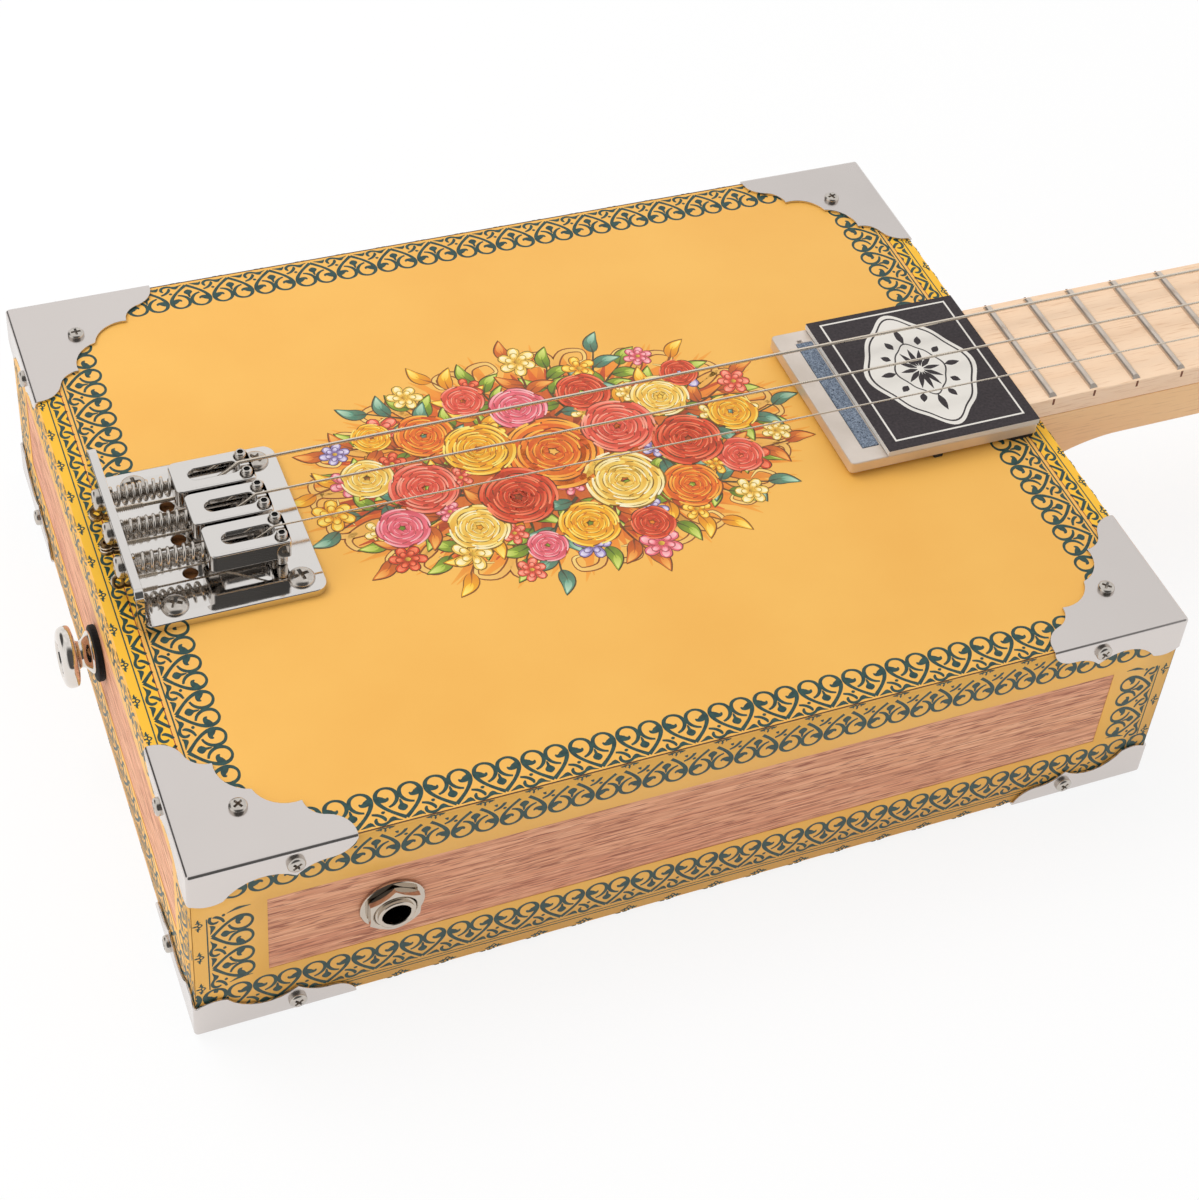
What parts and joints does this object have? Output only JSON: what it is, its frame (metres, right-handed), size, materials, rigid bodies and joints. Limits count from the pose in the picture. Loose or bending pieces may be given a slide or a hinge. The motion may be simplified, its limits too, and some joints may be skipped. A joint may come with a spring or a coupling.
{
  "type": "three-string box guitar",
  "caption": "Papered wooden box guitar with chromed corners, through neck, sliding-saddle bridge, flat pickup, output jack and geared tuners.",
  "frame": {"origin": "middle of the bare window of the back panel, on its outer face", "axes": "+X along the strings to the head, +Y away from the jack side, +Z out of the lid"},
  "size_m": [0.8283, 0.1854, 0.0682],
  "materials": {
    "panel_wood": "thin wooden panels under satin printed paper, bare sapele in the side windows",
    "corner_chrome": "pressed sheet, bright chrome plate",
    "maple": "maple under thin satin lacquer",
    "nut_bone": "polished bone-coloured nut",
    "bridge_chrome": "mirror chrome",
    "screw_steel": "nickelled steel",
    "string_steel": "plain and wound steel, brass balls at the tail end",
    "pickup_metal": "bead-blasted metal",
    "pickup_card": "matt black laminated card with a white line",
    "striker_grit": "speckled grey-blue grit",
    "lead_black": "black sheathed lead",
    "jack_nickel": "nickel plate",
    "black_felt": "pressed black felt",
    "tuner_chrome": "chromed die castings"
  },
  "bodies": {
    "root": {"lid": "panel_wood", "back_panel": "panel_wood", "wall_jack_side": "panel_wood", "wall_far_side": "panel_wood", "wall_tail": "panel_wood", "wall_neck": "panel_wood", "corner_top_tail_jack": "corner_chrome", "corner_top_tail_far": "corner_chrome", "corner_top_neck_jack": "corner_chrome", "corner_top_neck_far": "corner_chrome", "corner_back_tail_jack": "corner_chrome", "corner_back_tail_far": "corner_chrome", "corner_back_neck_jack": "corner_chrome", "corner_back_neck_far": "corner_chrome", "neck": "maple", "fingerboard": "maple", "nut": "nut_bone", "bridge_plate": "bridge_chrome", "saddle_spring_1": "screw_steel", "saddle_spring_2": "screw_steel", "saddle_spring_3": "screw_steel", "bridge_screw_1": "screw_steel", "bridge_screw_2": "screw_steel", "bridge_screw_3": "screw_steel", "bridge_screw_4": "screw_steel", "string_1": "string_steel", "string_2": "string_steel", "string_3": "string_steel", "pickup_base": "pickup_metal", "pickup_card": "pickup_card", "pickup_striker": "striker_grit", "pickup_lead": "lead_black", "jack_socket": "jack_nickel", "jack_washer": "jack_nickel", "jack_nut": "jack_nickel", "strap_button": "jack_nickel", "strap_screw": "jack_nickel", "strap_felt": "black_felt", "tuner_housing_1": "tuner_chrome", "tuner_housing_2": "tuner_chrome", "tuner_housing_3": "tuner_chrome"},
    "saddle_1": {"saddle_1": "bridge_chrome"},
    "saddle_2": {"saddle_2": "bridge_chrome"},
    "saddle_3": {"saddle_3": "bridge_chrome"},
    "intonation_screw_1": {"intonation_screw_1": "screw_steel"},
    "intonation_screw_2": {"intonation_screw_2": "screw_steel"},
    "intonation_screw_3": {"intonation_screw_3": "screw_steel"},
    "height_screw_1a": {"height_screw_1a": "screw_steel"},
    "height_screw_1b": {"height_screw_1b": "screw_steel"},
    "height_screw_2a": {"height_screw_2a": "screw_steel"},
    "height_screw_2b": {"height_screw_2b": "screw_steel"},
    "height_screw_3a": {"height_screw_3a": "screw_steel"},
    "height_screw_3b": {"height_screw_3b": "screw_steel"},
    "tuner_button_1": {"tuner_button_1": "tuner_chrome"},
    "tuner_button_2": {"tuner_button_2": "tuner_chrome"},
    "tuner_button_3": {"tuner_button_3": "tuner_chrome"},
    "tuner_post_1": {"tuner_post_1": "tuner_chrome"},
    "tuner_post_2": {"tuner_post_2": "tuner_chrome"},
    "tuner_post_3": {"tuner_post_3": "tuner_chrome"},
    "jack_contact": {"jack_contact": "screw_steel"}
  },
  "joints": [
    {"name": "intonation_turn_1", "type": "hinge", "parent": "root", "child": "intonation_screw_1", "pos_m": [-0.1109, 0.01085, 0.0617], "axis": [1, 0, 0], "range_deg": [-1802, 1802]},
    {"name": "saddle_slide_1", "type": "slide", "parent": "root", "child": "saddle_1", "axis": [1, 0, 0], "range_m": [-0.0025, 0.0025], "deforming": ["saddle_spring_1", "string_1"]},
    {"name": "height_turn_1a", "type": "hinge", "parent": "saddle_1", "child": "height_screw_1a", "pos_m": [-0.0781, 0.01375, 0.06], "axis": [0, 0, 1], "range_deg": [-720, 720]},
    {"name": "height_turn_1b", "type": "hinge", "parent": "saddle_1", "child": "height_screw_1b", "pos_m": [-0.0781, 0.00795, 0.06], "axis": [0, 0, 1], "range_deg": [-720, 720]},
    {"name": "intonation_turn_2", "type": "hinge", "parent": "root", "child": "intonation_screw_2", "pos_m": [-0.1109, 0, 0.0617], "axis": [1, 0, 0], "range_deg": [-1802, 1802]},
    {"name": "saddle_slide_2", "type": "slide", "parent": "root", "child": "saddle_2", "axis": [1, 0, 0], "range_m": [-0.0025, 0.0025], "deforming": ["saddle_spring_2", "string_2"]},
    {"name": "height_turn_2a", "type": "hinge", "parent": "saddle_2", "child": "height_screw_2a", "pos_m": [-0.07705, 0.0029, 0.06], "axis": [0, 0, 1], "range_deg": [-720, 720]},
    {"name": "height_turn_2b", "type": "hinge", "parent": "saddle_2", "child": "height_screw_2b", "pos_m": [-0.07705, -0.0029, 0.06], "axis": [0, 0, 1], "range_deg": [-720, 720]},
    {"name": "intonation_turn_3", "type": "hinge", "parent": "root", "child": "intonation_screw_3", "pos_m": [-0.1109, -0.01085, 0.0617], "axis": [1, 0, 0], "range_deg": [-1802, 1802]},
    {"name": "saddle_slide_3", "type": "slide", "parent": "root", "child": "saddle_3", "axis": [1, 0, 0], "range_m": [-0.0025, 0.0025], "deforming": ["saddle_spring_3", "string_3"]},
    {"name": "height_turn_3a", "type": "hinge", "parent": "saddle_3", "child": "height_screw_3a", "pos_m": [-0.076, -0.00795, 0.06], "axis": [0, 0, 1], "range_deg": [-720, 720]},
    {"name": "height_turn_3b", "type": "hinge", "parent": "saddle_3", "child": "height_screw_3b", "pos_m": [-0.076, -0.01375, 0.06], "axis": [0, 0, 1], "range_deg": [-720, 720]},
    {"name": "tuner_turn_1", "type": "hinge", "parent": "root", "child": "tuner_button_1", "pos_m": [0.60196, 0.012, 0.0285], "axis": [0, 1, 0], "continuous": true, "deforming": ["string_1"]},
    {"name": "post_turn_1", "type": "hinge", "parent": "root", "child": "tuner_post_1", "pos_m": [0.59496, 0.012, 0.04], "axis": [0, 0, 1], "continuous": true, "deforming": ["string_1"]},
    {"name": "tuner_turn_2", "type": "hinge", "parent": "root", "child": "tuner_button_2", "pos_m": [0.64695, 0.012, 0.0285], "axis": [0, 1, 0], "continuous": true, "deforming": ["string_2"]},
    {"name": "post_turn_2", "type": "hinge", "parent": "root", "child": "tuner_post_2", "pos_m": [0.63995, 0.012, 0.04], "axis": [0, 0, 1], "continuous": true, "deforming": ["string_2"]},
    {"name": "tuner_turn_3", "type": "hinge", "parent": "root", "child": "tuner_button_3", "pos_m": [0.62401, -0.012, 0.0285], "axis": [0, 1, 0], "continuous": true, "deforming": ["string_3"]},
    {"name": "post_turn_3", "type": "hinge", "parent": "root", "child": "tuner_post_3", "pos_m": [0.61701, -0.012, 0.04], "axis": [0, 0, 1], "continuous": true, "deforming": ["string_3"]},
    {"name": "contact_flex", "type": "hinge", "parent": "root", "child": "jack_contact", "pos_m": [-0.0738, -0.0778, 0.037], "axis": [1, 0, 0], "range_deg": [0, 6]}
  ],
  "couplings": [
    {"joint": "intonation_turn_1", "follows": "saddle_slide_1", "rad_per_m": -12566},
    {"joint": "intonation_turn_2", "follows": "saddle_slide_2", "rad_per_m": -12566},
    {"joint": "intonation_turn_3", "follows": "saddle_slide_3", "rad_per_m": -12566},
    {"joint": "post_turn_1", "follows": "tuner_turn_1", "ratio": 0.066667},
    {"joint": "post_turn_2", "follows": "tuner_turn_2", "ratio": 0.066667},
    {"joint": "post_turn_3", "follows": "tuner_turn_3", "ratio": 0.066667}
  ]
}
